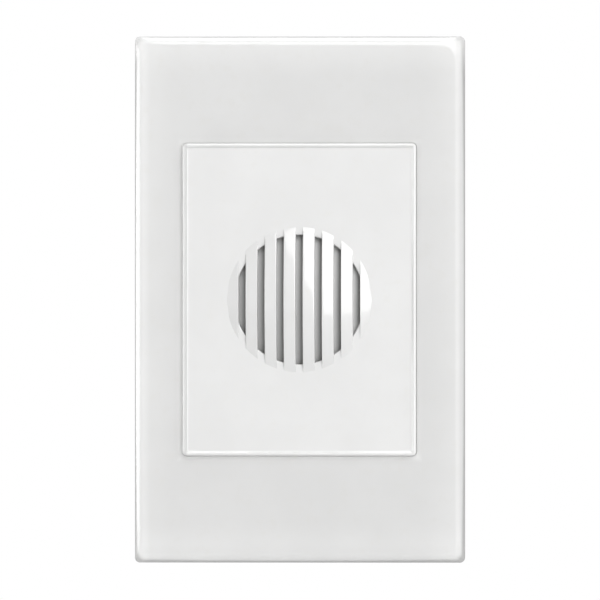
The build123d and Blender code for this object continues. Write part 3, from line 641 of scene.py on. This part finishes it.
stake_radius, stake_foot_radius, stake_head_radius, stake_offset = 1.0, 1.8, 1.7, 13.79
stake_tip, stake_shoulder, stake_head, stake_foot = 4.1, 4.45, 4.8, 6.0
stake_crown, stake_bevel = 0.02, 0.4
stake = [
    (0, stake_tip),
    (stake_head_radius - stake_bevel, stake_tip + stake_crown),
    (stake_head_radius, stake_shoulder),
    (stake_head_radius, stake_head),
    (stake_radius, stake_head),
    (stake_radius, stake_foot),
    (stake_foot_radius, stake_foot),
    (stake_foot_radius, cover_root),
    (0, cover_root),
]
for x in (-stake_offset, stake_offset):
    for z in (-stake_offset, stake_offset):
        turned(cover, stake, (x, z), 24)
settle(cover, "grille_cover_moulding", "chime_base", insert_gloss, ["grille_cover"])


# Trim plate: a gloss white moulding with a barely crowned face and rolled edges, open behind. A collar
# runs round its window, and four split pegs snap it into the frame. Painted light makes it paler towards
# its outer edges, most along the left edge, and fills the shade round its window, more on the left and
# below. Painted shade darkens its side walls, less at the top, and the coat is taken off there.
plate_gloss = moulded("plate_gloss", (0.70, 0.70, 0.695), 0.34, 0.9, 0.0025, 0.9)
plate_width, plate_height, plate_face = 74.0, 118.0, 8.0
plate_corner, roll, plate_wall = 1.1, 2.2, 1.8
window_width, window_height, window_corner = 52.5, 70.1, 0.95
collar_level, collar_wall, collar_edge = 4.6, 1.2, 0.15
plate_foot_edge, plate_foot_corner = 0.25, 1.0
plate_inside, plate_inner_corner = 6.2, 0.6
window_surround = 0.3
crown_radius = 2321.0
roll_steps, face_steps = 10, 9

across, depth, upright = plate_gloss.place.axes()
past_left, past_right = across * -1 - plate_width / 2, across - plate_width / 2
past_side, past_end = across.size() - plate_width / 2, upright.size() - plate_height / 2
past_top = upright - plate_height / 2
past_window_side = across.size() - window_width / 2
past_window_end = upright.size() - window_height / 2
behind_face = depth + plate_face
# Painted shade on the side walls, less towards the top.
side_wall_shade = behind_face.band(1.2, 1.8) * (1 - past_top.band(-9, -1) * 0.6)
# Painted light that fills the shade beside the window.
window_shade_fill = 1 - past_window_side.greater(past_window_end).band(0, 1.6)
beside_window = 1 - past_window_end.band(-1.25, 0.55)
# Painted light: paler towards the outer edges and towards the left.
painted_plate_light = past_side.band(-10, -1) * 0.07 + past_end.band(-10, -1) * 0.09 - across * 0.0006
# Painted highlight along the left edge.
painted_plate_light = painted_plate_light + past_left.band(-3.8, -1.4) * 0.13
painted_plate_light = painted_plate_light + window_shade_fill * (0.1 - across * beside_window * 0.0045 - upright * 0.0012)
plate_gloss.feed("Base Color", plate_gloss.fed("Base Color") * (1 + painted_plate_light) * (1 - side_wall_shade * 0.35))
rubbed = past_right.band(-2.4, -1.8) * (1 - past_right.band(-0.7, -0.4))
shine = plate_gloss.fed("Coat Weight")
plate_gloss.feed("Coat Weight", shine * (1 - rubbed * 0.8) * (1 - side_wall_shade))

plate = bmesh.new()


def plate_ring(margin, level, corner):
    """The plate's outline, moved in by a margin."""
    return oblong(plate, plate_width - 2 * margin, plate_height - 2 * margin, corner, level)


def window_ring(margin, level):
    """The window's outline, moved out by a margin."""
    size = (window_width + 2 * margin, window_height + 2 * margin)
    return oblong(plate, *size, window_corner + margin, level)


rings = [plate_ring(plate_foot_edge, 0.0, plate_foot_corner)]
rings.append(plate_ring(0.0, plate_foot_edge, plate_corner))
for step in range(roll_steps + 1):
    angle = step / roll_steps * math.pi / 2
    margin = roll * (1 - math.cos(angle))
    rings.append(plate_ring(margin, plate_face - roll + roll * math.sin(angle), plate_corner + margin))
outer = (plate_width - 2 * roll, plate_height - 2 * roll, plate_corner + roll)
inner = (
    window_width + 2 * window_surround,
    window_height + 2 * window_surround,
    window_corner + window_surround,
)
for step in range(1, face_steps + 1):
    share = step / face_steps
    size = [high + (low - high) * share for high, low in zip(outer, inner)]
    rings.append(oblong(plate, *size, plate_face))
window_edge = [(0.06, plate_face - 0.02), (0.02, plate_face - 0.06), (0.0, plate_face - 0.12)]
collar = [
    (0.0, collar_level + collar_edge),
    (collar_edge, collar_level),
    (collar_wall, collar_level),
    (collar_wall, plate_inside),
]
rings += [window_ring(margin, level) for margin, level in window_edge + collar]
rings += [plate_ring(plate_wall, level, plate_inner_corner) for level in (plate_inside, 0.0)]
skinned(plate, rings)
for vertex in plate.verts:
    level = -vertex.co.y
    drop = crown_radius - math.sqrt(crown_radius**2 - vertex.co.x**2 - vertex.co.z**2)
    vertex.co.y += drop * max(level, 0) / plate_face

peg_across, peg_upright = 28, 46
peg_tip, peg_shoulder, peg_root, peg_radius, peg_bevel = 0.5, 4.4, 6.35, 2.0, 0.5
peg_foot_radius, split_half = 2.8, 0.4
peg = [
    (0, peg_tip),
    (peg_radius - peg_bevel, peg_tip),
    (peg_radius, peg_tip + peg_bevel),
    (peg_radius, peg_shoulder),
    (peg_foot_radius, peg_shoulder),
    (peg_foot_radius, peg_root),
    (0, peg_root),
]
pegs, splits = bmesh.new(), bmesh.new()
reach = peg_foot_radius + overrun
for x in (-peg_across, peg_across):
    for z in (-peg_upright, peg_upright):
        turned(pegs, peg, (x, z), 32)
        block(splits, (x - split_half, -peg_shoulder, z - reach), (x + split_half, overrun, z + reach))
carved(pegs, splits, plate)
settle(plate, "trim_plate_moulding", "plate", plate_gloss, ["face_plate"])


# The studio: a pale floor well below, clear when seen from beneath, and a white surround. A broad softbox
# stands at the upper right, rim lamps and cards that only show in gloss at the left and above, and one
# lamp behind. The camera stands at the photograph's angle, a little to the right.
def ray(tree, kind):
    """What the light's path says of the ray that looks."""
    return Wire(tree, tree.nodes.new("ShaderNodeLightPath").outputs[kind])


floor_finish = Finish("studio_floor", {"Roughness": 0.9})
floor_finish.feed("Base Color", floor_finish.place.noise(400).blend((0.80, 0.80, 0.80), (0.83, 0.83, 0.83)))
tree = floor_finish.tree
lit = Wire(tree, floor_finish.shader.outputs["BSDF"])
glow = lit.node("ShaderNodeEmission", {}, {"Color": (1, 1, 1, 1), "Strength": 1})
mirrored = ray(tree, "Is Glossy Ray").greater(ray(tree, "Is Transmission Ray"))
shown = ray(tree, "Is Camera Ray").greater(mirrored)
pale = lit.node("ShaderNodeMixShader", {}, {0: shown * 0.35, 1: lit, 2: glow})
underside = lit.node("ShaderNodeNewGeometry", {}, {}, "Backfacing")
clear = lit.node("ShaderNodeBsdfTransparent", {}, {})
surface = lit.node("ShaderNodeMixShader", {}, {0: underside, 1: pale, 2: clear})
tree.links.new(surface.socket, tree.nodes["Material Output"].inputs["Surface"])
floor_level, floor_half = -0.30, 2.5
floor_mesh = bmesh.new()
place = Matrix.Translation((0, 0, floor_level))
bmesh.ops.create_grid(floor_mesh, x_segments=2, y_segments=2, size=floor_half, matrix=place)
sheet = bpy.data.meshes.new("studio_floor")
floor_mesh.to_mesh(sheet)
floor_mesh.free()
sheet.materials.append(floor_finish.material)
ground = bpy.data.objects.new("studio_floor", sheet)
bpy.context.scene.collection.objects.link(ground)


def softbox(name, centre, across, along, size, radiance, lights=True, mirrored=True):
    """A rectangular lamp whose sides lie along two directions.

    One that doesn't light shows in gloss alone, and one that isn't mirrored lights alone."""
    across, along = Vector(across).normalized(), Vector(along).normalized()
    lamp = bpy.data.lights.new(name, "AREA")
    lamp.shape = "RECTANGLE"
    lamp.size, lamp.size_y = size
    lamp.energy = radiance * math.pi * size[0] * size[1]
    body = bpy.data.objects.new(name, lamp)
    facing = across.cross(along)
    body.matrix_world = Matrix.Translation(centre) @ Matrix((across, along, facing)).transposed().to_4x4()
    body.visible_diffuse = lights
    body.visible_glossy = mirrored
    bpy.context.scene.collection.objects.link(body)


key_across, key_along = (0.885, 0, 0.466), (-0.466, 0, 0.885)
softbox("key_softbox", (0.96, -1.6, 0.506), key_across, key_along, (1.7, 3.5), 2.35)
softbox("left_rim", (-1.04, 0.12, 0), (0, -1, 0), (0, 0, 1), (0.48, 0.36), 4.6)
softbox("top_rim", (0, 0.12, 1.06), (1, 0, 0), (0, 1, 0), (0.36, 0.48), 4.6)
softbox("left_card", (-1.04, -0.38, 0), (0, -1, 0), (0, 0, 1), (0.52, 0.36), 2.6, lights=False)
softbox("top_card", (0, -0.38, 1.06), (1, 0, 0), (0, 1, 0), (0.36, 0.52), 2.6, lights=False)
back_across, back_along = (-0.977, -0.214, 0), (0.089, -0.407, 0.909)
softbox("back_softbox", (-0.35, 1.6, 0.75), back_across, back_along, (1.2, 1.2), 3, mirrored=False)

world = bpy.data.worlds.new("studio")
world.use_nodes = True
bpy.context.scene.world = world
tree = world.node_tree
surround = tree.nodes["Background"]
surround.inputs["Color"].default_value = (1, 1, 1, 1)
# The surround lights the part dimly and shows white to the camera. Gloss mirrors that white too, but less
# of it from behind the wall, and none once the light has scattered off a matt surface.
scattered = ray(tree, "Diffuse Depth")
direct = scattered.work("LESS_THAN", scattered, 0.5)
directions = tree.nodes.new("ShaderNodeTexCoord")
rear = Wire(tree, directions.outputs["Generated"]).axes()[1].band(0.75, 0.95)
mirrored = ray(tree, "Is Glossy Ray").greater(ray(tree, "Is Transmission Ray")) * direct * (1 - rear * 0.6)
shown = ray(tree, "Is Camera Ray").greater(mirrored)
unseen_strength = 0.41
strength = unseen_strength + shown * (1 - unseen_strength)
tree.links.new(strength.socket, surround.inputs["Strength"])

bpy.context.scene.view_settings.view_transform = "Standard"

azimuth, reach = math.radians(1.6), 2.5
aim = Vector((0.0, -0.004, -0.0001))
back = Vector((math.sin(azimuth), -math.cos(azimuth), 0))
lens = bpy.data.cameras.new("camera")
lens.sensor_width = 36
lens.lens = 668.6
lens.clip_end = 20
camera = bpy.data.objects.new("camera", lens)
camera.location = aim + back * reach
camera.rotation_mode = "QUATERNION"
camera.rotation_quaternion = (-back).to_track_quat("-Z", "Y")
bpy.context.scene.collection.objects.link(camera)
bpy.context.scene.camera = camera
